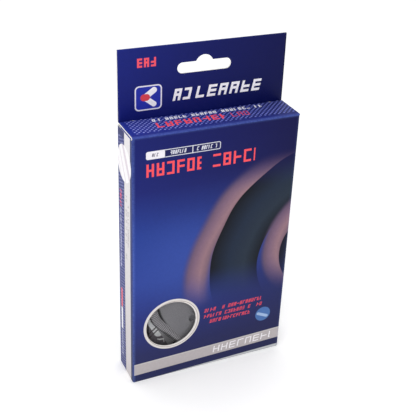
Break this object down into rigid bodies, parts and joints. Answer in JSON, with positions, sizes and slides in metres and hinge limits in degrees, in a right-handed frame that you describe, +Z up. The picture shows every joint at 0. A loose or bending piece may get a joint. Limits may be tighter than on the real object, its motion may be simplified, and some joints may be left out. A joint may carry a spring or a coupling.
{
  "type": "boxed elbow brace",
  "caption": "Neoprene elbow wrap folded inside a windowed folding carton with a hang tab, a lid that opens with its tuck flap, and dust flaps.",
  "frame": {"origin": "centre of the carton's base", "axes": "+Z up, -Y out of the window panel, +X to the right as the window panel is seen"},
  "size_m": [0.1, 0.0234, 0.204],
  "materials": {
    "printed_board": "satin",
    "neoprene_jersey": "matte",
    "binding_tape": "matte",
    "hook_tape": "satin",
    "loop_pile": "matte"
  },
  "bodies": {
    "carton": {"carton_sleeve": "printed_board", "brace_wrap": "neoprene_jersey", "brace_binding": "binding_tape", "brace_strap_lower": "hook_tape", "brace_strap_upper": "hook_tape", "loop_patch_upper": "loop_pile", "loop_patch_lower": "loop_pile"},
    "lid": {"carton_lid": "printed_board"},
    "tuck": {"tuck_flap": "printed_board"},
    "dust_left": {"dust_flap_left": "printed_board"},
    "dust_right": {"dust_flap_right": "printed_board"}
  },
  "joints": [
    {"name": "lid_open", "type": "hinge", "parent": "carton", "child": "lid", "pos_m": [0, -0.01175, 0.164], "axis": [1, 0, 0], "range_deg": [0, 110]},
    {"name": "tuck_fold", "type": "hinge", "parent": "lid", "child": "tuck", "pos_m": [0, 0.00985, 0.1634], "axis": [1, 0, 0], "range_deg": [-33, 0]},
    {"name": "dust_left_fold", "type": "hinge", "parent": "carton", "child": "dust_left", "pos_m": [-0.05, 0, 0.1631], "axis": [0, -1, 0], "range_deg": [0, 44]},
    {"name": "dust_right_fold", "type": "hinge", "parent": "carton", "child": "dust_right", "pos_m": [0.05, 0, 0.1631], "axis": [0, 1, 0], "range_deg": [0, 44]}
  ],
  "couplings": [
    {"joint": "tuck_fold", "follows": "lid_open", "ratio": -0.3},
    {"joint": "dust_left_fold", "follows": "lid_open", "ratio": 0.4},
    {"joint": "dust_right_fold", "follows": "lid_open", "ratio": 0.4}
  ]
}
